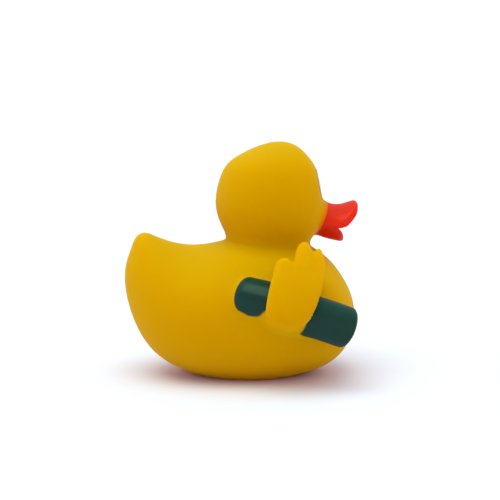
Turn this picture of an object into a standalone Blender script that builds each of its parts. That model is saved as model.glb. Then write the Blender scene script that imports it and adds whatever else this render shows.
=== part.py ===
"""Rubber duck: a hollow soft-vinyl bath duck that carries a roll under its right wing.

The duck looks along +X, its left side is at +Y and it stands on z = 0. The vinyl is one casting with an even
wall, open at a round hole in the flat base. A squeaker, a turned plastic housing with a thin reed in it, is
pressed into that hole.

Forms are worked out in millimetres about the duck's plane of symmetry, and become metres as they are meshed.
"""

import math

import bmesh
import bpy
import numpy as np
from mathutils import Matrix, Vector

MM = 0.001

# The whole duck is 84 mm tall. Its plane of symmetry stands beside the origin, because the roll makes the right
# side wider than the left, and the origin is under the middle of the whole.
MIDLINE = Vector((0, 4.1, 0)) * MM

WALL = 2.0  # thickness of the vinyl
FIT_GAP = 0.3  # between the vinyl and the squeaker

# Body. Each rib joins a point on the back to a point on the belly, both in the plane of symmetry:
# (x, z on the back, x, z on the belly, half width). The belly is cut flat where the duck stands.
TAIL_TIP = (-37.7, 50.3)
BODY_RIBS = [
    (-34.4, 51.7, -39.7, 46.0, 5.0),
    (-29.5, 49.8, -41.9, 38.0, 11.0),
    (-21.5, 47.3, -41.2, 28.0, 18.0),
    (-12.0, 47.0, -37.6, 17.2, 24.5),
    (-2.0, 49.0, -30.3, 7.4, 29.2),
    (9.0, 50.0, -16.2, 0.3, 31.5),
    (19.0, 48.6, 4.0, -2.4, 31.7),
    (26.8, 45.0, 21.8, 0.2, 29.3),
    (33.2, 39.6, 32.8, 4.9, 24.0),
    (38.0, 32.4, 38.4, 11.6, 15.4),
    (39.9, 27.5, 40.6, 18.4, 7.2),
]
CHEST_FRONT = (40.8, 23.0)

# Head. Each rib joins the back of the head to the face: (x, z at the back, x, z at the face, half width).
CROWN = (13.0, 84.0)
HEAD_RIBS = [
    (5.7, 82.2, 19.5, 82.6, 8.5),
    (-0.4, 79.3, 23.3, 79.5, 14.0),
    (-5.6, 75.2, 26.4, 75.0, 17.6),
    (-8.5, 68.0, 28.2, 68.0, 19.6),
    (-9.2, 61.0, 28.8, 60.5, 19.4),
    (-7.6, 55.0, 27.6, 54.0, 17.4),
    (-5.4, 50.0, 24.5, 48.8, 14.8),
    (-3.0, 44.0, 22.5, 43.0, 12.5),
    (2.0, 39.0, 17.0, 38.5, 7.0),
]
NECK_FOOT = (9.5, 37.0)
FACE_FLATNESS = 0.66  # power of the face side's superellipse: 1 is round, and less is flatter

# Beak, open: the ribs run from each tip back into the face, (x, z above, x, z below, half width) at the middle.
# The upper half's sides hang by UPPER_ARCH times the square of y, and the lower half's rise like a spoon's.
BEAK_FLATNESS = 0.75
UPPER_TIP = (42.0, 60.9)
UPPER_RIBS = [
    (41.2, 62.5, 41.5, 59.0, 5.2),
    (39.2, 62.2, 39.7, 58.2, 8.3),
    (36.4, 61.4, 36.8, 57.4, 10.3),
    (33.0, 61.3, 33.2, 56.8, 10.2),
    (29.0, 63.2, 29.0, 56.8, 10.4),
    (24.0, 64.0, 24.0, 57.0, 9.0),
]
UPPER_ROOT = (19.0, 60.0)
UPPER_ARCH = 0.044
LOWER_TIP = (36.9, 48.6)
LOWER_RIBS = [
    (36.4, 50.6, 35.9, 47.8, 3.4),
    (34.6, 51.8, 33.6, 48.2, 5.6),
    (31.4, 53.0, 30.4, 49.0, 7.0),
    (27.4, 54.0, 27.0, 50.2, 7.4),
]
LOWER_ROOT = (22.0, 52.5)
LOWER_ARCH = -0.075

# Roll: a round bar bent along the right flank, by three points of its axis (x, y, z).
ROLL_RADIUS = 7.4
ROLL_REAR = (-2.5, -24.6, 32.5)
ROLL_MIDDLE = (16.0, -31.2, 28.3)
ROLL_FRONT = (35.0, -30.6, 21.6)
ROLL_STEPS = 12

# Wings: a thick sheet each, carried along the middle line of the wing from the flank to the feather tips, with
# its upper edge in three scallops. The right wing goes round the roll, and the left one lies on the flank.
RIGHT_WING = [
    (9.6, -23.0, 25.0),
    (10.1, -30.5, 24.3),
    (10.8, -37.4, 25.1),
    (12.4, -41.0, 29.0),
    (15.6, -38.2, 37.7),
    (18.0, -31.8, 45.0),
    (19.0, -25.5, 51.6),
]
LEFT_WING = [
    (8.8, 22.0, 24.0),
    (9.3, 28.0, 23.5),
    (9.9, 31.8, 24.8),
    (11.8, 32.6, 28.5),
    (15.4, 29.8, 36.0),
    (18.0, 25.5, 41.8),
    (19.0, 21.0, 46.0),
]
WING_ACROSS = (0.955, -0.05, -0.29)
WING_HALF_WIDTH = 8.8
WING_ROOT = 0.60  # its width at the root, as part of its width at the feathers
WING_FLARE = (0.3, 0.85)  # where along it that width grows
WING_SQUARENESS = 0.75  # power of its section's superellipse
LEAST_REACH = 0.7  # the scalloped edge never falls back further than this
WING_HALF_THICKNESS = 2.4
# Each feather: place across, reach along, half width, and how far its tip stands out beyond its sides.
FEATHERS = [(-0.62, 0.836, 0.44, 0.12), (0.12, 1.0, 0.42, 0.17), (0.70, 0.985, 0.30, 0.20)]

WING_EDGE = math.radians(20)  # how much of the sphere it is made from goes into its rounded ends
WING_BLUNTNESS = 0.35  # power by which those ends close: 1 is round, and less is blunter
WING_AROUND = 28
WING_ALONG = 16

# Squeaker, turned about a vertical axis through the middle of the flat base.
SQUEAKER_X = 2.5
HOLE_RADIUS = 6.2  # through the vinyl
RECESS_RADIUS = 7.7  # shallow seat for the squeaker's face
RECESS_DEPTH = 0.9
FACE_RADIUS = 7.3
FACE_BOTTOM = 0.2
FACE_TOP = RECESS_DEPTH - FIT_GAP
COLLAR_RADIUS = 7.2
COLLAR_BOTTOM = WALL + FIT_GAP
COLLAR_TOP = 3.2
BARREL_RADIUS = 4.7
BARREL_TOP = 9.0
BORE_RADIUS = 3.3
BORE_BOTTOM = 2.0
SOUND_HOLE_RADIUS = 1.0
REED_SIZE = (4.6, 2.2, 0.3)
REED_HEIGHT = 6.0
TURNED_STEPS = 32

# Paint and plastics: linear colour and roughness.
YELLOW = ((0.73, 0.36, 0.005), 0.45)
ORANGE_RED = ((0.70, 0.03, 0.006), 0.30)
GREEN = ((0.012, 0.055, 0.045), 0.40)
WHITE = ((0.75, 0.75, 0.72), 0.40)
STEEL = ((0.60, 0.60, 0.62), 0.30)


# Scene, materials and objects


def clear_scene():
    for thing in list(bpy.data.objects):
        bpy.data.objects.remove(thing, do_unlink=True)


def new_collection(name):
    collection = bpy.data.collections.new(name)
    bpy.context.scene.collection.children.link(collection)
    return collection


def new_material(name, finish, metallic=0.0):
    colour, roughness = finish
    material = bpy.data.materials.new(name)
    material.use_nodes = True
    shader = material.node_tree.nodes["Principled BSDF"]
    shader.inputs["Base Color"].default_value = (*colour, 1)
    shader.inputs["Roughness"].default_value = roughness
    shader.inputs["Metallic"].default_value = metallic
    return material


def new_object(name, mesh, collection, material):
    thing = bpy.data.objects.new(name, mesh)
    collection.objects.link(thing)
    mesh.materials.append(material)
    mesh.shade_smooth()
    thing.location = MIDLINE
    return thing


def as_helper(thing):
    """A form that is joined to the casting or cut from it, and isn't a piece itself."""
    thing.hide_render = True
    thing.display_type = "WIRE"
    return thing


def boolean(target, operation, helper):
    modifier = target.modifiers.new(f"{operation.lower()} {helper.name}", "BOOLEAN")
    modifier.operation = operation
    modifier.object = helper
    modifier.material_mode = "TRANSFER"


# Curves and forms


def closed_spline(points, t):
    """Points at t on the smooth closed curve through the given points, one unit of t from each to the next.

    It is the periodic cubic spline, whose slopes solve: slope before + 4 slope + slope after = 3 (next - last).
    """
    points = np.array(points, dtype=float)
    count = len(points)
    following = np.roll(points, -1, axis=0)
    unit = np.eye(count)
    system = 4 * unit + np.roll(unit, 1, axis=0) + np.roll(unit, -1, axis=0)
    slopes = np.linalg.solve(system, 3 * (following - np.roll(points, 1, axis=0)))
    start = np.floor(t).astype(int) % count
    f = (t - np.floor(t))[:, None]
    a, b = points[start], following[start]
    slope_a, slope_b = slopes[start], np.roll(slopes, -1, axis=0)[start]
    return (
        a * (1 + 2 * f) * (1 - f) ** 2
        + slope_a * f * (1 - f) ** 2
        + b * f**2 * (3 - 2 * f)
        - slope_b * f**2 * (1 - f)
    )


def moulded_sphere(name, around, along, mould, collection, material):
    """A sphere whose points, given by their angle from the top pole and their angle round it, mould moves."""
    mesh = bpy.data.meshes.new(name)
    form = bmesh.new()
    bmesh.ops.create_uvsphere(form, u_segments=around, v_segments=along, radius=1)
    unit = np.array([vertex.co for vertex in form.verts])
    down = np.arccos(np.clip(unit[:, 2], -1, 1))
    turn = np.arctan2(unit[:, 1], unit[:, 0])
    for vertex, point in zip(form.verts, mould(down, turn)):
        vertex.co = Vector(point) * MM
    form.normal_update()
    bmesh.ops.recalc_face_normals(form, faces=form.faces)
    form.to_mesh(mesh)
    form.free()
    return new_object(name, mesh, collection, material)


def rounded(angle, squareness):
    """Cosine and sine of an angle, each raised to a power with its sign kept: a superellipse."""
    cosine, sine = np.cos(angle), np.sin(angle)
    return np.sign(cosine) * np.abs(cosine) ** squareness, np.sign(sine) * np.abs(sine) ** squareness


def ribbed_form(name, first, ribs, last, around, along, collection, material, flatness=1.0, arch=0.0):
    """A loft over elliptical ribs, closed at both tips, with flatness the power of the side of the second points.

    The ribs' ends lie on one closed outline, from the first tip along one side to the last tip and back along the
    other. Half a width is carried round it as a third value, with its sign changed on the way back. The whole hangs
    by arch times the square of y, and nothing goes below the floor.
    """
    outline = [(*first, 0.0)]
    outline += [(x, z, width) for x, z, _, _, width in ribs]
    outline += [(*last, 0.0)]
    outline += [(x, z, -width) for _, _, x, z, width in reversed(ribs)]

    def mould(down, turn):
        station = down / math.pi * (len(ribs) + 1)
        one_side = closed_spline(outline, station)
        other_side = closed_spline(outline, -station)
        middle = (one_side + other_side)[:, :2] / 2
        reach = (one_side - other_side)[:, :2] / 2
        across, sideways = rounded(turn, np.where(np.cos(turn) < 0, flatness, 1.0))
        flat = middle + reach * across[:, None]
        y = one_side[:, 2] * sideways
        return np.column_stack([flat[:, 0], y, np.maximum(flat[:, 1] - arch * y * y, 0)])

    return moulded_sphere(name, around, along, mould, collection, material)


def open_spline(points, t):
    """Points at t, from 0 to 1, on the natural cubic spline through the given points."""
    points = np.array(points, dtype=float)
    count = len(points)
    system = 4 * np.eye(count) + np.eye(count, k=1) + np.eye(count, k=-1)
    system[0, 0] = system[-1, -1] = 2
    rise = np.zeros_like(points)
    rise[1:-1] = 3 * (points[2:] - points[:-2])
    rise[0], rise[-1] = 3 * (points[1] - points[0]), 3 * (points[-1] - points[-2])
    slopes = np.linalg.solve(system, rise)
    place = np.clip(t, 0, 1) * (count - 1)
    start = np.minimum(place.astype(int), count - 2)
    f = (place - start)[:, None]
    a, b = points[start], points[start + 1]
    return (
        a * (1 + 2 * f) * (1 - f) ** 2
        + slopes[start] * f * (1 - f) ** 2
        + b * f**2 * (3 - 2 * f)
        - slopes[start + 1] * f**2 * (1 - f)
    )


def wing(name, line, collection, material):
    """A flat sheet carried along the wing's middle line, up to a scalloped edge."""

    def mould(down, turn):
        along = (1 - np.cos(down)) / 2
        swell = np.minimum(np.sin(down) / math.sin(WING_EDGE), 1) ** WING_BLUNTNESS
        a, side = rounded(turn, WING_SQUARENESS)
        reach = np.full_like(a, LEAST_REACH)
        for place, tip, half, bow in FEATHERS:
            inside = 1 - ((a - place) / half) ** 2
            reach = np.maximum(reach, np.where(inside > 0, tip - bow * (1 - np.sqrt(np.abs(inside))), 0))
        t = reach * along
        step = 0.01
        forward = open_spline(line, t + step) - open_spline(line, t - step)
        across = np.array(WING_ACROSS)
        thick = np.cross(across, forward)
        thick /= np.linalg.norm(thick, axis=1)[:, None]
        flare = np.clip((along - WING_FLARE[0]) / (WING_FLARE[1] - WING_FLARE[0]), 0, 1)
        width = WING_HALF_WIDTH * (WING_ROOT + (1 - WING_ROOT) * flare * flare * (3 - 2 * flare))
        return (
            open_spline(line, t)
            + across * (a * swell * width)[:, None]
            + thick * (side * swell * WING_HALF_THICKNESS)[:, None]
        )

    return moulded_sphere(name, WING_AROUND, WING_ALONG, mould, collection, material)


def arc_through(start, middle, end, steps):
    """Points at even steps along the circular arc from start to end through middle."""
    a, b, c = Vector(start), Vector(middle), Vector(end)
    ab, ac = b - a, c - a
    normal = ab.cross(ac)
    centre = a + (normal.cross(ab) * ac.length_squared + ac.cross(normal) * ab.length_squared) / (
        2 * normal.length_squared
    )
    normal.normalize()
    angle = (a - centre).angle(b - centre) + (b - centre).angle(c - centre)
    return [
        centre + Matrix.Rotation(angle * step / steps, 3, normal) @ (a - centre) for step in range(steps + 1)
    ]


def bent_bar(name, path, radius, collection, material):
    """A round bar along a path, made as a curve with a bevel and then turned into a closed mesh."""
    curve = bpy.data.curves.new(name, "CURVE")
    curve.dimensions = "3D"
    curve.bevel_depth = radius * MM
    curve.bevel_resolution = 4
    curve.use_fill_caps = True
    spline = curve.splines.new("POLY")
    spline.points.add(len(path) - 1)
    for spot, point in zip(spline.points, path):
        spot.co = (*(point * MM), 1)
    guide = bpy.data.objects.new(f"{name} guide", curve)
    collection.objects.link(guide)
    bpy.context.view_layer.update()
    evaluated = guide.evaluated_get(bpy.context.evaluated_depsgraph_get())
    mesh = bpy.data.meshes.new_from_object(evaluated)
    mesh.name = name
    bpy.data.objects.remove(guide)
    form = bmesh.new()
    form.from_mesh(mesh)
    bmesh.ops.remove_doubles(form, verts=form.verts, dist=0.00001)
    bmesh.ops.recalc_face_normals(form, faces=form.faces)
    form.to_mesh(mesh)
    form.free()
    mesh.materials.clear()
    return new_object(name, mesh, collection, material)


def inset(thing, depth, collection):
    """A copy of a form whose surface lies the given depth under the form's own."""
    copy = bpy.data.objects.new(f"{thing.name} hollow", thing.data)
    collection.objects.link(copy)
    copy.location = thing.location
    modifier = copy.modifiers.new("inset", "DISPLACE")
    modifier.mid_level = 0
    modifier.strength = -depth * MM
    return as_helper(copy)


def turned(name, profile, collection, material):
    """A shape turned about a vertical axis, from its profile (radius, z) that runs down its outer side."""
    mesh = bpy.data.meshes.new(name)
    points = [(radius * MM, 0, z * MM) for radius, z in profile]
    edges = [(index, (index + 1) % len(points)) for index in range(len(points))]
    mesh.from_pydata(points, edges, [])
    thing = new_object(name, mesh, collection, material)
    screw = thing.modifiers.new("turn", "SCREW")
    screw.steps = TURNED_STEPS
    screw.render_steps = TURNED_STEPS
    screw.use_merge_vertices = True
    screw.merge_threshold = 0.00001
    return thing


# Pieces


def make_shell(parts, helpers):
    yellow = new_material("yellow vinyl", YELLOW)
    red = new_material("orange-red paint", ORANGE_RED)
    green = new_material("green paint", GREEN)

    shell = ribbed_form("duck_shell", TAIL_TIP, BODY_RIBS, CHEST_FRONT, 36, 30, parts, yellow)
    head = ribbed_form("head", CROWN, HEAD_RIBS, NECK_FOOT, 30, 22, helpers, yellow, flatness=FACE_FLATNESS)
    beak = (helpers, red, BEAK_FLATNESS)
    upper = ribbed_form("upper beak", UPPER_TIP, UPPER_RIBS, UPPER_ROOT, 18, 12, *beak, UPPER_ARCH)
    lower = ribbed_form("lower beak", LOWER_TIP, LOWER_RIBS, LOWER_ROOT, 14, 9, *beak, LOWER_ARCH)
    roll_path = arc_through(ROLL_REAR, ROLL_MIDDLE, ROLL_FRONT, ROLL_STEPS)
    roll = bent_bar("roll", roll_path, ROLL_RADIUS, helpers, green)

    joined = [head, upper, lower, roll]
    joined.append(wing("right wing", RIGHT_WING, helpers, yellow))
    joined.append(wing("left wing", LEFT_WING, helpers, yellow))
    hollows = [inset(form, WALL, helpers) for form in (shell, head)]
    for form in joined:
        boolean(shell, "UNION", as_helper(form))
    for form in hollows:
        boolean(shell, "DIFFERENCE", form)

    seat = [
        (0, COLLAR_TOP + WALL),
        (HOLE_RADIUS, COLLAR_TOP + WALL),
        (HOLE_RADIUS, RECESS_DEPTH),
        (RECESS_RADIUS, RECESS_DEPTH),
        (RECESS_RADIUS, -WALL),
        (0, -WALL),
    ]
    cutter = turned("squeaker seat", seat, helpers, yellow)
    cutter.location.x += SQUEAKER_X * MM
    boolean(shell, "DIFFERENCE", as_helper(cutter))


def make_squeaker(parts):
    profile = [
        (BORE_RADIUS, BARREL_TOP),
        (BARREL_RADIUS, BARREL_TOP),
        (BARREL_RADIUS, COLLAR_TOP),
        (COLLAR_RADIUS, COLLAR_TOP),
        (COLLAR_RADIUS, COLLAR_BOTTOM),
        (HOLE_RADIUS - FIT_GAP, COLLAR_BOTTOM),
        (HOLE_RADIUS - FIT_GAP, FACE_TOP),
        (FACE_RADIUS, FACE_TOP),
        (FACE_RADIUS, FACE_BOTTOM),
        (SOUND_HOLE_RADIUS, FACE_BOTTOM),
        (SOUND_HOLE_RADIUS, BORE_BOTTOM),
        (BORE_RADIUS, BORE_BOTTOM),
    ]
    housing = turned("squeaker_housing", profile, parts, new_material("white plastic", WHITE))
    housing.location.x += SQUEAKER_X * MM
    bpy.ops.mesh.primitive_cube_add(size=1)
    reed = bpy.context.object
    reed.name = "squeaker_reed"
    reed.data.name = "squeaker_reed"
    reed.data.transform(Matrix.Diagonal(Vector(REED_SIZE) * MM).to_4x4())
    reed.location = MIDLINE + Vector((SQUEAKER_X, 0, REED_HEIGHT)) * MM
    reed.data.materials.append(new_material("spring steel", STEEL, metallic=1.0))
    for collection in reed.users_collection:
        collection.objects.unlink(reed)
    parts.objects.link(reed)


def main():
    clear_scene()
    parts = new_collection("rubber duck")
    helpers = new_collection("cutters")
    make_shell(parts, helpers)
    make_squeaker(parts)


main()
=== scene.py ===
"""Looks of the rubber duck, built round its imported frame.

The duck looks along +X with its left side at +Y. Its forms are worked out in millimetres about its plane of
symmetry, and become metres in the frame's own place as they are meshed.
"""

import math

import bmesh
import bpy
import numpy as np
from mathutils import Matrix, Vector


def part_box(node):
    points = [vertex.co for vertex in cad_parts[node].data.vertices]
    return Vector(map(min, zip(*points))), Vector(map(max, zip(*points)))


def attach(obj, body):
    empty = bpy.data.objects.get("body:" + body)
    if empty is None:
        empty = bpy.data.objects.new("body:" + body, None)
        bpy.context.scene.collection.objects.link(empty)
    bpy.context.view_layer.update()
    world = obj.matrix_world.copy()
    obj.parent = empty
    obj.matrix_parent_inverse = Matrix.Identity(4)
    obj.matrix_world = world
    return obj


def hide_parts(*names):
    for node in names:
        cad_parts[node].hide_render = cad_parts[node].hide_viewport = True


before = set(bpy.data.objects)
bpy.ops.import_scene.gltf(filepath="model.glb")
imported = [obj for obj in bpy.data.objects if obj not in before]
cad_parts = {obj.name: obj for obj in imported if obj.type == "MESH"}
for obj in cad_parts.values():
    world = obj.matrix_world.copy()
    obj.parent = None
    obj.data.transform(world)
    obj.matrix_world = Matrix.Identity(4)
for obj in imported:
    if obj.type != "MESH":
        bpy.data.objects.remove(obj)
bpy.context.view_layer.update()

MM = 0.001
MERGE_DISTANCE = 0.002 * MM

# Where the frame puts the duck: the squeaker is turned about a line in the plane of symmetry.
SQUEAKER_LOW, SQUEAKER_HIGH = (np.array(corner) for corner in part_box("squeaker_housing"))
MIDLINE_Y = (SQUEAKER_LOW[1] + SQUEAKER_HIGH[1]) / 2
SQUEAKER_X = (SQUEAKER_LOW[0] + SQUEAKER_HIGH[0]) / 2 / MM
SQUEAKER_TOP = SQUEAKER_HIGH[2] / MM

# The hole in the base: a shallow seat for the squeaker's face, and a bore for the rest of it.
SEAT_RADIUS = 7.7
SEAT_DEPTH = 0.9
HOLE_RADIUS = 6.2
HOLE_TOP = SQUEAKER_TOP + 2.0
BELOW_BASE = -1.0  # the tool that cuts both starts here

# Body. Each rib joins a point on the back to a point on the belly, both in the plane of symmetry:
# (x, z on the back, x, z on the belly, half width). The belly is cut flat where the duck stands.
TAIL_TIP = (-37.7, 50.3)
BODY_RIBS = [
    (-34.4, 51.7, -39.7, 46.0, 5.0),
    (-29.5, 49.8, -41.9, 38.0, 11.0),
    (-21.5, 47.3, -41.2, 28.0, 18.0),
    (-12.0, 47.0, -37.6, 17.2, 24.5),
    (-2.0, 49.0, -30.3, 7.4, 29.2),
    (9.0, 50.0, -16.2, 0.3, 31.5),
    (19.0, 48.6, 4.0, -2.4, 31.7),
    (26.8, 45.0, 21.8, 0.2, 29.3),
    (33.2, 39.6, 32.8, 4.9, 24.0),
    (38.0, 32.4, 38.4, 11.6, 15.4),
    (39.9, 27.5, 40.6, 18.4, 7.2),
]
CHEST_FRONT = (40.8, 23.0)

# Head. Each rib joins the back of the head to the face: (x, z at the back, x, z at the face, half width).
CROWN = (13.0, 84.0)
HEAD_RIBS = [
    (5.7, 82.2, 19.5, 82.6, 8.5),
    (-0.4, 79.3, 23.3, 79.5, 14.0),
    (-5.6, 75.2, 26.4, 75.0, 17.6),
    (-8.5, 68.0, 28.2, 68.0, 19.6),
    (-9.2, 61.0, 28.8, 60.5, 19.4),
    (-7.6, 55.0, 27.6, 54.0, 17.4),
    (-5.4, 50.0, 24.5, 48.8, 14.8),
    (-3.0, 44.0, 22.5, 43.0, 12.5),
    (2.0, 39.0, 17.0, 38.5, 7.0),
]
NECK_FOOT = (9.5, 37.0)
FACE_FLATNESS = 0.66  # power of the face side's superellipse: 1 is round, and less is flatter

# Beak, open: the ribs run from each tip back into the face, (x, z above, x, z below, half width) at the middle.
# The upper half's sides hang by UPPER_ARCH times the square of y, and the lower half's rise like a spoon's.
BEAK_FLATNESS = 0.75
UPPER_TIP = (42.0, 60.9)
UPPER_RIBS = [
    (41.2, 62.5, 41.5, 59.0, 5.2),
    (39.2, 62.2, 39.7, 58.2, 8.3),
    (36.4, 61.4, 36.8, 57.4, 10.3),
    (33.0, 61.3, 33.2, 56.8, 10.2),
    (29.0, 63.2, 29.0, 56.8, 10.4),
    (24.0, 64.0, 24.0, 57.0, 9.0),
]
UPPER_ROOT = (19.0, 60.0)
UPPER_ARCH = 0.044
LOWER_TIP = (36.9, 48.6)
LOWER_RIBS = [
    (36.4, 50.6, 35.9, 47.8, 3.4),
    (34.6, 51.8, 33.6, 48.2, 5.6),
    (31.4, 53.0, 30.4, 49.0, 7.0),
    (27.4, 54.0, 27.0, 50.2, 7.4),
]
LOWER_ROOT = (22.0, 52.5)
LOWER_ARCH = -0.075
LIP_PLACE = 0.84
LIP_WIDTH = 0.12
LIP_HEIGHT = 0.7

# Roll: a round bar bent along the right flank, by three points of its axis (x, y, z).
ROLL_RADIUS = 7.4
ROLL_REAR_RIM = 3.2  # rounding of its ends
ROLL_FRONT_RIM = 1.4
ROLL_REAR = (-2.5, -24.6, 32.5)
ROLL_MIDDLE = (16.0, -31.2, 28.3)
ROLL_FRONT = (35.0, -30.6, 21.6)

# Wings: a thick sheet each, carried along the middle line of the wing from the flank to the feather tips, with
# its upper edge in three scallops. The right wing goes round the roll, and the left one lies on the flank.
RIGHT_WING = [
    (9.6, -23.0, 25.0),
    (10.1, -30.5, 24.3),
    (10.8, -37.4, 25.1),
    (12.4, -41.0, 29.0),
    (15.6, -38.2, 37.7),
    (18.0, -31.8, 45.0),
    (19.0, -25.5, 51.6),
]
LEFT_WING = [
    (8.8, 22.0, 24.0),
    (9.3, 28.0, 23.5),
    (9.9, 31.8, 24.8),
    (11.8, 32.6, 28.5),
    (15.4, 29.8, 36.0),
    (18.0, 25.5, 41.8),
    (19.0, 21.0, 46.0),
]
WING_ACROSS = (0.955, -0.05, -0.29)
WING_HALF_WIDTH = 8.8
WING_ROOT = 0.60  # its width at the root, as part of its width at the feathers
WING_FLARE = (0.3, 0.85)  # where along it that width grows
WING_SQUARENESS = 0.75  # power of its section's superellipse
LEAST_REACH = 0.7  # the scalloped edge never falls back further than this
WING_HALF_THICKNESS = 2.4
WING_EDGE_START = 0.94  # where along it the section starts to close
# Each feather: place across, reach along, half width, and how far its tip stands out beyond its sides.
FEATHERS = [(-0.62, 0.836, 0.44, 0.12), (0.12, 1.0, 0.42, 0.17), (0.70, 0.985, 0.30, 0.20)]
GROOVE_WIDTH = 0.13  # grooves run down between the feathers, this wide across
GROOVE_DEPTH = 0.45  # as part of the thickness
GROOVE_GROWS = (0.72, 0.95)  # where along the wing they deepen

# Skin
VOXEL = 0.58
FILLET_STEP = 0.9  # how far a pass moves a point toward the mean of its neighbours
FILLET_PASSES = 36
ROOT_PASSES = 260  # more of them where the right wing grows out of the flank, under the roll
ROOT_MIDDLE = (8.5, -34.0, 19.5)
ROOT_REACH = 12.0

# Paint. A pair is where a paint starts and where it is full.
# The beak's paint ends along a line that leans forward with height, and a thin spray goes past it.
BEAK_LEAN = 0.45
BEAK_LEAN_Z = 53.0  # the height at which both edges are measured
BEAK_EDGE = (26.8, 27.2)
SPRAY_EDGE = (25.0, 26.6)
SPRAY_TOP = (64.5, 66.0)
SPRAY_COVER = 0.8
BEAK_SIDE = (12.0, 13.0)
# Below the beak both end at a height that falls as x grows.
BEAK_FALL = 0.25
BEAK_FALL_X = 36.0
BEAK_FLOOR = (46.8, 47.4)
# The roll's paint fades just past its surface, and runs on over the fillet before its front end.
ROLL_FADE = (0.08, 0.3)
ROLL_FRONT_FADE = (-1.7, -1.3)

# Eyes, painted on the face: middles and half sizes. Their edges are parts of the whole oval.
EYE_Y = 6.8
EYE_Z = 69.4
EYE_HALF = (4.5, 5.6)
PUPIL_Y = EYE_Y - 0.5
PUPIL_Z = EYE_Z - 0.6
PUPIL_HALF = (2.2, 3.2)
OVAL_EDGE = (0.97, 1.0)
WHITE_EDGE = (0.80, 0.83)
FACE_START = (16.0, 17.0)


# Curves and grids of points


def closed_spline(points, t):
    """Points at t on the smooth closed curve through the given points, one unit of t from each to the next.

    It is the periodic cubic spline, whose slopes solve: slope before + 4 slope + slope after = 3 (next - last).
    """
    points = np.array(points, dtype=float)
    count = len(points)
    following = np.roll(points, -1, axis=0)
    unit = np.eye(count)
    system = 4 * unit + np.roll(unit, 1, axis=0) + np.roll(unit, -1, axis=0)
    slopes = np.linalg.solve(system, 3 * (following - np.roll(points, 1, axis=0)))
    start = np.floor(t).astype(int) % count
    f = (t - np.floor(t))[:, None]
    a, b = points[start], following[start]
    slope_a, slope_b = slopes[start], np.roll(slopes, -1, axis=0)[start]
    return (
        a * (1 + 2 * f) * (1 - f) ** 2
        + slope_a * f * (1 - f) ** 2
        + b * f**2 * (3 - 2 * f)
        - slope_b * f**2 * (1 - f)
    )


def open_spline(points, t):
    """Points at t, from 0 to 1, on the natural cubic spline through the given points."""
    points = np.array(points, dtype=float)
    count = len(points)
    system = 4 * np.eye(count) + np.eye(count, k=1) + np.eye(count, k=-1)
    system[0, 0] = system[-1, -1] = 2
    rise = np.zeros_like(points)
    rise[1:-1] = 3 * (points[2:] - points[:-2])
    rise[0], rise[-1] = 3 * (points[1] - points[0]), 3 * (points[-1] - points[-2])
    slopes = np.linalg.solve(system, rise)
    place = np.clip(t, 0, 1) * (count - 1)
    start = np.minimum(place.astype(int), count - 2)
    f = (place - start)[..., None]
    a, b = points[start], points[start + 1]
    return (
        a * (1 + 2 * f) * (1 - f) ** 2
        + slopes[start] * f * (1 - f) ** 2
        + b * f**2 * (3 - 2 * f)
        - slopes[start + 1] * f**2 * (1 - f)
    )


def smooth_step(value, low, high):
    """0 below low, 1 above high, and the cubic 3 f^2 - 2 f^3 between."""
    f = np.clip((value - low) / (high - low), 0, 1)
    return f * f * (3 - 2 * f)


def rounded(angle, squareness):
    """Cosine and sine of an angle, each raised to a power with its sign kept: a superellipse."""
    cosine, sine = np.cos(angle), np.sin(angle)
    return np.sign(cosine) * np.abs(cosine) ** squareness, np.sign(sine) * np.abs(sine) ** squareness


def ribbed_surface(first, ribs, last, rows, columns, flattened=1.0):
    """A loft over elliptical ribs, closed at both tips, as rows of points.

    The ribs' ends lie on one closed outline, from the first tip along one side to the last tip and back along the
    other. Half a width is carried round it as a third value, with its sign changed on the way back. A row at
    station s is the middle of outline(s) and outline(-s), plus half their difference times the cosine, plus the
    half width times the sine. Flattened is the power of both on the side of the ribs' second points.
    """
    outline = [(*first, 0.0)]
    outline += [(x, z, width) for x, z, _, _, width in ribs]
    outline += [(*last, 0.0)]
    outline += [(x, z, -width) for _, _, x, z, width in reversed(ribs)]
    station = np.linspace(0, len(ribs) + 1, rows)
    one_side, other_side = closed_spline(outline, station), closed_spline(outline, -station)
    middle, reach = (one_side + other_side) / 2, (one_side - other_side) / 2
    angle = np.linspace(0, 2 * math.pi, columns, endpoint=False)
    cosine, sine = rounded(angle, np.where(np.cos(angle) < 0, flattened, 1.0))
    x = middle[:, :1] + reach[:, :1] * cosine
    y = one_side[:, 2:] * sine
    z = middle[:, 1:2] + reach[:, 1:2] * cosine
    return np.stack([x, y, z], axis=2)


def body_surface():
    grid = ribbed_surface(TAIL_TIP, BODY_RIBS, CHEST_FRONT, rows=220, columns=200)
    grid[..., 2] = np.maximum(grid[..., 2], 0)
    return grid


def beak_surface(first, ribs, last, arch):
    """Half of the beak: full-edged ribs, bent over the middle line by arch times the square of y.

    Along its sides the upper face swells by a bell curve of the distance from LIP_PLACE across, into a lip.
    """
    grid = ribbed_surface(first, ribs, last, rows=110, columns=120, flattened=BEAK_FLATNESS)
    y = grid[..., 1]
    across = np.abs(y) / np.maximum(np.abs(y).max(axis=1, keepdims=True), LIP_WIDTH)
    upper_face = grid[..., 2] > grid[..., 2].mean(axis=1, keepdims=True)
    grid[..., 2] += LIP_HEIGHT * upper_face * np.exp(-(((across - LIP_PLACE) / LIP_WIDTH) ** 2)) - arch * y * y
    return grid


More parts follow.
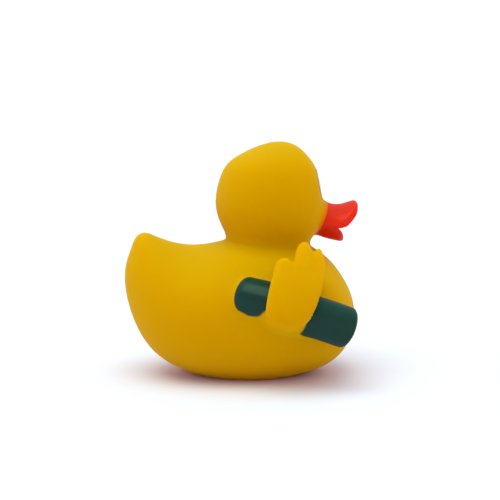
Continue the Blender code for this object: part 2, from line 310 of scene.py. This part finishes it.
def arc_frame():
    """The circle through the roll's three points: its centre, unit normal, radius and whole angle."""
    a, b, c = (np.array(point) for point in (ROLL_REAR, ROLL_MIDDLE, ROLL_FRONT))
    ab, ac = b - a, c - a
    normal = np.cross(ab, ac)
    centre = a + (np.cross(normal, ab) * (ac @ ac) + np.cross(ac, normal) * (ab @ ab)) / (2 * normal @ normal)
    normal /= np.linalg.norm(normal)
    radius = np.linalg.norm(a - centre)
    angle = 2 * (math.asin(np.linalg.norm(b - a) / 2 / radius) + math.asin(np.linalg.norm(c - b) / 2 / radius))
    return centre, normal, radius, angle


def roll_surface():
    """A circle carried along the roll's arc, which shrinks over a quarter-round rim to a disc at both ends."""
    centre, normal, bend, angle = arc_frame()
    length = bend * angle
    quarter = np.linspace(0, math.pi / 2, 10)

    def cap(rim):
        disc = np.linspace(0, 1, 12, endpoint=False) * (ROLL_RADIUS - rim)
        along = np.concatenate([np.zeros_like(disc), rim * (1 - np.cos(quarter))])
        return along, np.concatenate([disc, ROLL_RADIUS - rim * (1 - np.sin(quarter))])

    rear_along, rear_radius = cap(ROLL_REAR_RIM)
    front_along, front_radius = cap(ROLL_FRONT_RIM)
    shaft = np.linspace(ROLL_REAR_RIM, length - ROLL_FRONT_RIM, 60)[1:-1]
    along = np.concatenate([rear_along, shaft, length - front_along[::-1]])
    radius = np.concatenate([rear_radius, np.full_like(shaft, ROLL_RADIUS), front_radius[::-1]])
    start = (np.array(ROLL_REAR) - centre) / bend
    side = np.cross(normal, start)
    turn = along[:, None] / bend
    outward = start * np.cos(turn) + side * np.sin(turn)
    around = np.linspace(0, 2 * math.pi, 72, endpoint=False)
    offset = outward[:, None] * np.cos(around)[None, :, None] + normal * np.sin(around)[None, :, None]
    return centre + bend * outward[:, None] + radius[:, None, None] * offset


def wing_surface(line):
    """A flat closed section carried along the wing's middle line, up to a scalloped edge.

    A point is line(reach(a) * b) + a * half width * across, pushed along the sheet's normal by the thickness.
    Here a is the section's cosine and reach(a) the scallops' outline. The thickness falls to nothing at b = 1,
    and dips between two feathers by a bell curve of a.
    """
    b = np.linspace(0, 1, 90)[:, None]
    angle = np.linspace(0, 2 * math.pi, 120, endpoint=False)[None, :]
    a, side = rounded(angle, WING_SQUARENESS)
    reach = np.full_like(a, LEAST_REACH)
    groove = np.zeros_like(a)
    for place, tip, half, bow in FEATHERS:
        inside = 1 - ((a - place) / half) ** 2
        reach = np.maximum(reach, np.where(inside > 0, tip - bow * (1 - np.sqrt(np.abs(inside))), 0))
    for (place, _, half, _), (following, _, its_half, _) in zip(FEATHERS, FEATHERS[1:]):
        valley = (place + half + following - its_half) / 2
        groove += np.exp(-(((a - valley) / GROOVE_WIDTH) ** 2))
    t = reach * b
    middle = open_spline(line, t)
    across = np.array(WING_ACROSS) * (1, np.sign(-line[0][1]), 1)
    along = open_spline(line, t + 0.01) - open_spline(line, t - 0.01)
    normal = np.cross(across, along)
    normal /= np.linalg.norm(normal, axis=2, keepdims=True)
    width = WING_HALF_WIDTH * (WING_ROOT + (1 - WING_ROOT) * smooth_step(b, *WING_FLARE))
    edge = np.sqrt(1 - np.clip((b - WING_EDGE_START) / (1 - WING_EDGE_START), 0, 1) ** 2)
    grooved = 1 - GROOVE_DEPTH * groove * smooth_step(b, *GROOVE_GROWS)
    thickness = WING_HALF_THICKNESS * edge * side * grooved
    return middle + across * (a * width)[..., None] + normal * thickness[..., None]


def turned_surface(profile):
    """A profile (radius, z) turned about the squeaker's axis."""
    profile = np.array(profile)
    turn = np.linspace(0, 2 * math.pi, 64, endpoint=False)
    x = SQUEAKER_X + profile[:, :1] * np.cos(turn)
    y = profile[:, :1] * np.sin(turn)
    return np.stack([x, y, np.broadcast_to(profile[:, 1:], x.shape)], axis=2)


# Meshes


def in_frame(points):
    """Points from the duck's own millimetres to metres in the frame."""
    placed = np.asarray(points, dtype=float).reshape(-1, 3) * MM
    placed[:, 1] += MIDLINE_Y
    return placed


def grid_faces(rows, columns, first=0):
    """Quads between neighbouring rows of a grid whose columns close on themselves."""
    row, column = np.meshgrid(np.arange(rows - 1), np.arange(columns), indexing="ij")
    after = (column + 1) % columns
    here, above = row * columns, (row + 1) * columns
    quads = [here + column, here + after, above + after, above + column]
    return np.stack(quads, axis=2).reshape(-1, 4) + first


def new_piece(name, grids):
    """One mesh object of closed grids, with doubled points merged and normals facing out."""
    points, faces, first = [], [], 0
    for grid in grids:
        rows, columns = grid.shape[:2]
        points.append(in_frame(grid))
        faces.append(grid_faces(rows, columns, first))
        first += rows * columns
    mesh = bpy.data.meshes.new(name)
    mesh.from_pydata(np.concatenate(points), [], np.concatenate(faces))
    form = bmesh.new()
    form.from_mesh(mesh)
    bmesh.ops.remove_doubles(form, verts=form.verts, dist=MERGE_DISTANCE)
    bmesh.ops.holes_fill(form, edges=[edge for edge in form.edges if edge.is_boundary], sides=0)
    bmesh.ops.recalc_face_normals(form, faces=form.faces)
    form.to_mesh(mesh)
    form.free()
    piece = bpy.data.objects.new(name, mesh)
    bpy.context.scene.collection.objects.link(piece)
    mesh.shade_smooth()
    return piece


def apply_modifiers(piece):
    evaluated = piece.evaluated_get(bpy.context.evaluated_depsgraph_get())
    mesh = bpy.data.meshes.new_from_object(evaluated)
    mesh.name = piece.data.name
    piece.modifiers.clear()
    piece.data = mesh
    mesh.shade_smooth()


def vertex_array(mesh):
    points = np.empty(len(mesh.vertices) * 3)
    mesh.vertices.foreach_get("co", points)
    return points.reshape(-1, 3)


def soften_hollows(mesh, passes, middle=None, reach=None):
    """Fills creases into fillets: a point in a hollow moves out to the mean of its neighbours, others stay.

    The step is the part of (mean of neighbours - point) along the normal, where that is positive. With a middle
    it fades to nothing at reach from there.
    """
    points = vertex_array(mesh)
    share = np.full(len(points), FILLET_STEP)
    if middle:
        share *= 1 - smooth_step(np.linalg.norm(points - in_frame(middle), axis=1) / MM, reach / 2, reach)
    edges = np.empty(len(mesh.edges) * 2, dtype=int)
    mesh.edges.foreach_get("vertices", edges)
    start, end = edges.reshape(-1, 2).T
    ends, starts = np.concatenate([end, start]), np.concatenate([start, end])
    count = np.bincount(starts, minlength=len(points))
    for _ in range(passes):
        total = np.stack([np.bincount(starts, points[ends, axis], len(points)) for axis in range(3)], axis=1)
        pull = total / count[:, None] - points
        mesh.vertices.foreach_set("co", points.ravel())
        mesh.update()
        normals = np.empty(len(points) * 3)
        mesh.vertex_normals.foreach_get("vector", normals)
        normals = normals.reshape(-1, 3)
        depth = np.einsum("ij,ij->i", pull, normals)
        points += normals * (np.maximum(depth, 0) * share)[:, None]
    mesh.vertices.foreach_set("co", points.ravel())
    mesh.update()


# Shader maths


class Value:
    """A shader socket that takes part in arithmetic: each operation adds its Math node."""

    def __init__(self, finish, socket):
        self.finish, self.socket = finish, socket

    def math(self, operation, *others):
        return self.finish.node("ShaderNodeMath", {"operation": operation}, self, *others)

    def __add__(self, other):
        return self.math("ADD", other)

    def __sub__(self, other):
        return self.math("SUBTRACT", other)

    def __mul__(self, other):
        return self.math("MULTIPLY", other)

    def __rsub__(self, other):
        return self.finish.node("ShaderNodeMath", {"operation": "SUBTRACT"}, other, self)

    __radd__, __rmul__ = __add__, __mul__

    def __abs__(self):
        return self.math("ABSOLUTE")

    def root(self):
        return self.math("SQRT")

    def most(self, other):
        return self.math("MAXIMUM", other)

    def step(self, low, high):
        """0 below low, 1 above high, and smooth between."""
        settings = {"interpolation_type": "SMOOTHSTEP"}
        return self.finish.node("ShaderNodeMapRange", settings, self, low, high, 0, 1)


class Finish:
    """A material under construction."""

    def __init__(self, name):
        self.material = bpy.data.materials.new(name)
        self.material.use_nodes = True
        self.tree = self.material.node_tree
        self.shader = self.tree.nodes["Principled BSDF"]
        place = self.raw("ShaderNodeTexCoord", {})
        self.place = place.outputs["Object"]
        split = self.raw("ShaderNodeSeparateXYZ", {}, place.outputs["Object"])
        self.x, self.y, self.z = (Value(self, output) * (1 / MM) for output in split.outputs)
        self.y = self.y - float(MIDLINE_Y / MM)

    def connect(self, value, socket):
        if isinstance(value, Value):
            value = value.socket
        if isinstance(value, bpy.types.NodeSocket):
            self.tree.links.new(value, socket)
        else:
            socket.default_value = value

    def raw(self, kind, settings, *values, **named):
        node = self.tree.nodes.new(kind)
        for key, setting in settings.items():
            setattr(node, key, setting)
        inputs = [socket for socket in node.inputs if socket.enabled]
        for value, socket in zip(values, inputs):
            self.connect(value, socket)
        for key, value in named.items():
            self.connect(value, node.inputs[key.replace("_", " ")])
        return node

    def node(self, kind, settings, *values, **named):
        """Adds a node: settings first, then socket values by order or name. Gives its first used output."""
        made = self.raw(kind, settings, *values, **named)
        return Value(self, next(output for output in made.outputs if output.enabled))

    def noise(self, scale, detail):
        """Noise from 0 to 1 over the object, with features about 1 / scale metres wide."""
        return self.node("ShaderNodeTexNoise", {}, Vector=self.place, Scale=scale, Detail=detail)

    def offset(self, centre):
        return self.raw("ShaderNodeVectorMath", {"operation": "SUBTRACT"}, self.place, centre).outputs["Vector"]

    def dot(self, vector, direction):
        settings = {"operation": "DOT_PRODUCT"}
        made = self.raw("ShaderNodeVectorMath", settings, vector, direction)
        return Value(self, made.outputs["Value"])

    def blend(self, factor, below, above):
        """The colour below, covered by the colour above as far as factor says."""
        node = self.raw("ShaderNodeMix", {"data_type": "RGBA"})
        self.connect(factor, node.inputs[0])
        self.connect(below, node.inputs[6])
        self.connect(above, node.inputs[7])
        return Value(self, node.outputs[2])

    def bump(self, height, distance, strength):
        return self.node("ShaderNodeBump", {}, Height=height, Distance=distance, Strength=strength)

    def set(self, **sockets):
        for key, value in sockets.items():
            self.connect(value, self.shader.inputs[key.replace("_", " ")])
        return self.material


def colour(red, green, blue):
    """An sRGB colour of 0 to 255 as the linear RGBA that shaders take."""
    levels = np.array([red, green, blue]) / 255
    linear = np.where(levels <= 0.04045, levels / 12.92, ((levels + 0.055) / 1.055) ** 2.4)
    return (*linear, 1)


# Finishes


YELLOW = colour(198, 146, 0)
LIGHT_YELLOW = colour(203, 151, 0)
SPRAY_ORANGE = colour(216, 96, 2)
BEAK_RED = colour(203, 30, 2)
ROLL_GREEN = colour(0, 51, 45)
EYE_OUTLINE = colour(40, 30, 14)
EYE_WHITE = colour(244, 240, 228)
PUPIL_BLACK = colour(18, 14, 12)


def beak_masks(finish):
    """1 on the beak, and 1 on the spray that goes past its paint."""
    x, y, z = finish.x, finish.y, finish.z
    forward = x - (z - BEAK_LEAN_Z) * BEAK_LEAN
    grain = finish.noise(1400, 1) * 0.6 - 0.3
    in_reach = (z + (x - BEAK_FALL_X) * BEAK_FALL).step(*BEAK_FLOOR) * (1 - abs(y).step(*BEAK_SIDE))
    spray = (forward + grain).step(*SPRAY_EDGE) * in_reach * (1 - z.step(*SPRAY_TOP))
    return forward.step(*BEAK_EDGE) * in_reach, spray


def roll_mask(finish):
    """1 on the roll, which is a round bar about an arc with a rounded rear end.

    The distance from the arc is root((radius about the centre - bend)^2 + height^2). The surface is where
    root(outward^2 + rearward^2) is ROLL_REAR_RIM, both counted from the middle of the rim's rounding.
    """
    centre, normal, bend, angle = arc_frame()
    inward = (centre - np.array(ROLL_REAR)) / bend
    rear_way = np.cross(inward, normal)
    front_way = rear_way * math.cos(angle) + inward * math.sin(angle)
    centre = in_frame(centre)[0]
    offset = finish.offset(tuple(centre))
    height = finish.dot(offset, tuple(normal)) * (1 / MM)
    square = finish.dot(offset, offset) * (1 / MM**2)
    flat = (square - height * height).root() - float(bend)
    distance = (flat * flat + height * height).root()
    from_rear = finish.dot(finish.place, tuple(rear_way)) * (1 / MM)
    from_front = finish.dot(finish.place, tuple(-front_way)) * (1 / MM)
    rear = float(in_frame(ROLL_REAR)[0] @ rear_way / MM)
    front = float(in_frame(ROLL_FRONT)[0] @ -front_way / MM)
    outward = (distance - (ROLL_RADIUS - ROLL_REAR_RIM)).most(0)
    rearward = (rear + ROLL_REAR_RIM - from_rear).most(0)
    past_surface = (outward * outward + rearward * rearward).root() - ROLL_REAR_RIM
    return (1 - past_surface.step(*ROLL_FADE)) * (from_front - front).step(*ROLL_FRONT_FADE)


def oval(finish, middle_y, middle_z, half):
    """Distance from the middle of the oval on either side of the face: 1 at its edge."""
    across = (abs(finish.y) - middle_y) * (1 / half[0])
    up = (finish.z - middle_z) * (1 / half[1])
    return (across * across + up * up).root()


def vinyl():
    finish = Finish("painted vinyl")
    clouds = finish.noise(45, 3)
    speckle = finish.noise(900, 2)
    beak, spray = beak_masks(finish)
    green = roll_mask(finish)
    face = finish.x.step(*FACE_START)
    eye = oval(finish, EYE_Y, EYE_Z, EYE_HALF)
    pupil = oval(finish, PUPIL_Y, PUPIL_Z, PUPIL_HALF)

    paint = finish.blend(clouds, YELLOW, LIGHT_YELLOW)
    paint = finish.blend(spray * SPRAY_COVER, paint, SPRAY_ORANGE)
    paint = finish.blend(beak, paint, BEAK_RED)
    paint = finish.blend(green, paint, ROLL_GREEN)
    paint = finish.blend(face * (1 - eye.step(*OVAL_EDGE)), paint, EYE_OUTLINE)
    paint = finish.blend(face * (1 - eye.step(*WHITE_EDGE)), paint, EYE_WHITE)
    paint = finish.blend(face * (1 - pupil.step(*OVAL_EDGE)), paint, PUPIL_BLACK)
    rough = 0.60 + (clouds - 0.5) * 0.08
    relief = finish.bump(speckle, 0.00004, 0.25)
    return finish.set(
        Base_Color=paint,
        Roughness=rough,
        Normal=relief,
        Coat_Weight=beak * 0.24 + green * 0.34,
        Coat_Roughness=0.2,
        Subsurface_Weight=0.6,
        Subsurface_Radius=(1.0, 0.3, 0.05),
        Subsurface_Scale=0.012,
        Specular_IOR_Level=0.03,
        Specular_Tint=(1.0, 0.8, 0.05, 1.0),
    )


def white_plastic():
    finish = Finish("moulded white plastic")
    tone = finish.blend(finish.noise(120, 3), colour(226, 226, 220), colour(236, 236, 230))
    rough = 0.34 + finish.noise(300, 2) * 0.12
    relief = finish.bump(finish.noise(2500, 1), 0.00002, 0.2)
    return finish.set(Base_Color=tone, Roughness=rough, Normal=relief)


def spring_strip():
    finish = Finish("spring strip")
    rough = 0.25 + finish.noise(1500, 2) * 0.2
    return finish.set(Base_Color=colour(190, 190, 195), Metallic=1.0, Roughness=rough)


# Pieces


def make_skin():
    grids = [
        body_surface(),
        ribbed_surface(CROWN, HEAD_RIBS, NECK_FOOT, rows=180, columns=200, flattened=FACE_FLATNESS),
        beak_surface(UPPER_TIP, UPPER_RIBS, UPPER_ROOT, UPPER_ARCH),
        beak_surface(LOWER_TIP, LOWER_RIBS, LOWER_ROOT, LOWER_ARCH),
        roll_surface(),
        wing_surface(RIGHT_WING),
        wing_surface(LEFT_WING),
    ]
    skin = new_piece("duck_skin", grids)
    remesh = skin.modifiers.new("fuse", "REMESH")
    remesh.mode = "VOXEL"
    remesh.voxel_size = VOXEL * MM
    remesh.use_smooth_shade = True
    apply_modifiers(skin)
    soften_hollows(skin.data, FILLET_PASSES)
    soften_hollows(skin.data, ROOT_PASSES, ROOT_MIDDLE, ROOT_REACH)
    skin.data.materials.append(vinyl())

    seat = [(0, HOLE_TOP), (HOLE_RADIUS, HOLE_TOP), (HOLE_RADIUS, SEAT_DEPTH)]
    seat += [(SEAT_RADIUS, SEAT_DEPTH), (SEAT_RADIUS, BELOW_BASE), (0, BELOW_BASE)]
    cutter = new_piece("squeaker seat", [turned_surface(seat)])
    cut = skin.modifiers.new("seat", "BOOLEAN")
    cut.operation = "DIFFERENCE"
    cut.object = cutter
    apply_modifiers(skin)
    bpy.data.objects.remove(cutter)
    skin.data.set_sharp_from_angle(angle=math.radians(60))
    return skin


skin = make_skin()
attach(skin, "root")
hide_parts("duck_shell")
for name, make_finish in [("squeaker_housing", white_plastic), ("squeaker_reed", spring_strip)]:
    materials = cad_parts[name].data.materials
    materials.clear()
    materials.append(make_finish())


# Studio

SUN_FROM = (-0.20, -0.25, 1.0)
SUN_WIDTH = math.radians(50)
SUN_STRENGTH = 1.3
SUN_TINT = (0.97, 1.2, 0.85)

# The sky: each height, 0 at the horizon and 1 overhead, and its colour there.
SKY = [(0.12, (1.04, 1.04, 1.04, 1)), (0.24, (1.06, 0.50, 0.58, 1)), (0.75, (0.83, 1.18, 1.10, 1))]
FLOOR_COLOUR = (0.82, 0.75, 0.93, 1)

CAMERA_TURN = math.radians(-5)
CAMERA_RISE = math.radians(9)
CAMERA_DISTANCE = 0.75
VIEW_WIDTH = 0.1818
AIM_RIGHT = 0.0031
AIM_UP = 0.0444


def aim(thing, place, target):
    thing.location = place
    thing.rotation_euler = (Vector(target) - Vector(place)).to_track_quat("-Z", "Y").to_euler()


def make_camera():
    toward = Vector((math.sin(CAMERA_TURN), -math.cos(CAMERA_TURN), 0)) * math.cos(CAMERA_RISE)
    toward.z = math.sin(CAMERA_RISE)
    right = Vector((math.cos(CAMERA_TURN), math.sin(CAMERA_TURN), 0))
    up = toward.cross(right)
    target = Vector((0, MIDLINE_Y, 0)) + right * AIM_RIGHT + up * AIM_UP
    data = bpy.data.cameras.new("camera")
    data.lens = data.sensor_width * CAMERA_DISTANCE / VIEW_WIDTH
    camera = bpy.data.objects.new("camera", data)
    bpy.context.scene.collection.objects.link(camera)
    aim(camera, target + toward * CAMERA_DISTANCE, target)
    bpy.context.scene.camera = camera


def make_sun():
    """A very soft sun, a little to the left and front of overhead, which darkens the floor under the duck."""
    data = bpy.data.lights.new("soft sun", "SUN")
    data.energy = SUN_STRENGTH
    data.angle = SUN_WIDTH
    data.color = SUN_TINT
    sun = bpy.data.objects.new("soft sun", data)
    bpy.context.scene.collection.objects.link(sun)
    aim(sun, SUN_FROM, (0, 0, 0))


def make_floor():
    bpy.ops.mesh.primitive_plane_add(size=8)
    floor = bpy.context.object
    floor.name = "floor"
    finish = Finish("white paper")
    floor.data.materials.append(finish.set(Base_Color=FLOOR_COLOUR, Roughness=0.8, Specular_IOR_Level=0.1))


def make_world():
    """White at the horizon, a little warm above it and a little cool overhead."""
    world = bpy.data.worlds.new("studio")
    world.use_nodes = True
    nodes, links = world.node_tree.nodes, world.node_tree.links
    direction = nodes.new("ShaderNodeTexCoord")
    split = nodes.new("ShaderNodeSeparateXYZ")
    tint = nodes.new("ShaderNodeValToRGB")
    stops = tint.color_ramp.elements
    stops.new(0.5)
    for stop, (height, shade) in zip(stops, SKY):
        stop.position, stop.color = height, shade
    links.new(direction.outputs["Generated"], split.inputs[0])
    links.new(split.outputs["Z"], tint.inputs[0])
    links.new(tint.outputs["Color"], nodes["Background"].inputs["Color"])
    bpy.context.scene.world = world


make_camera()
make_sun()
make_floor()
make_world()
bpy.context.scene.view_settings.view_transform = "Standard"
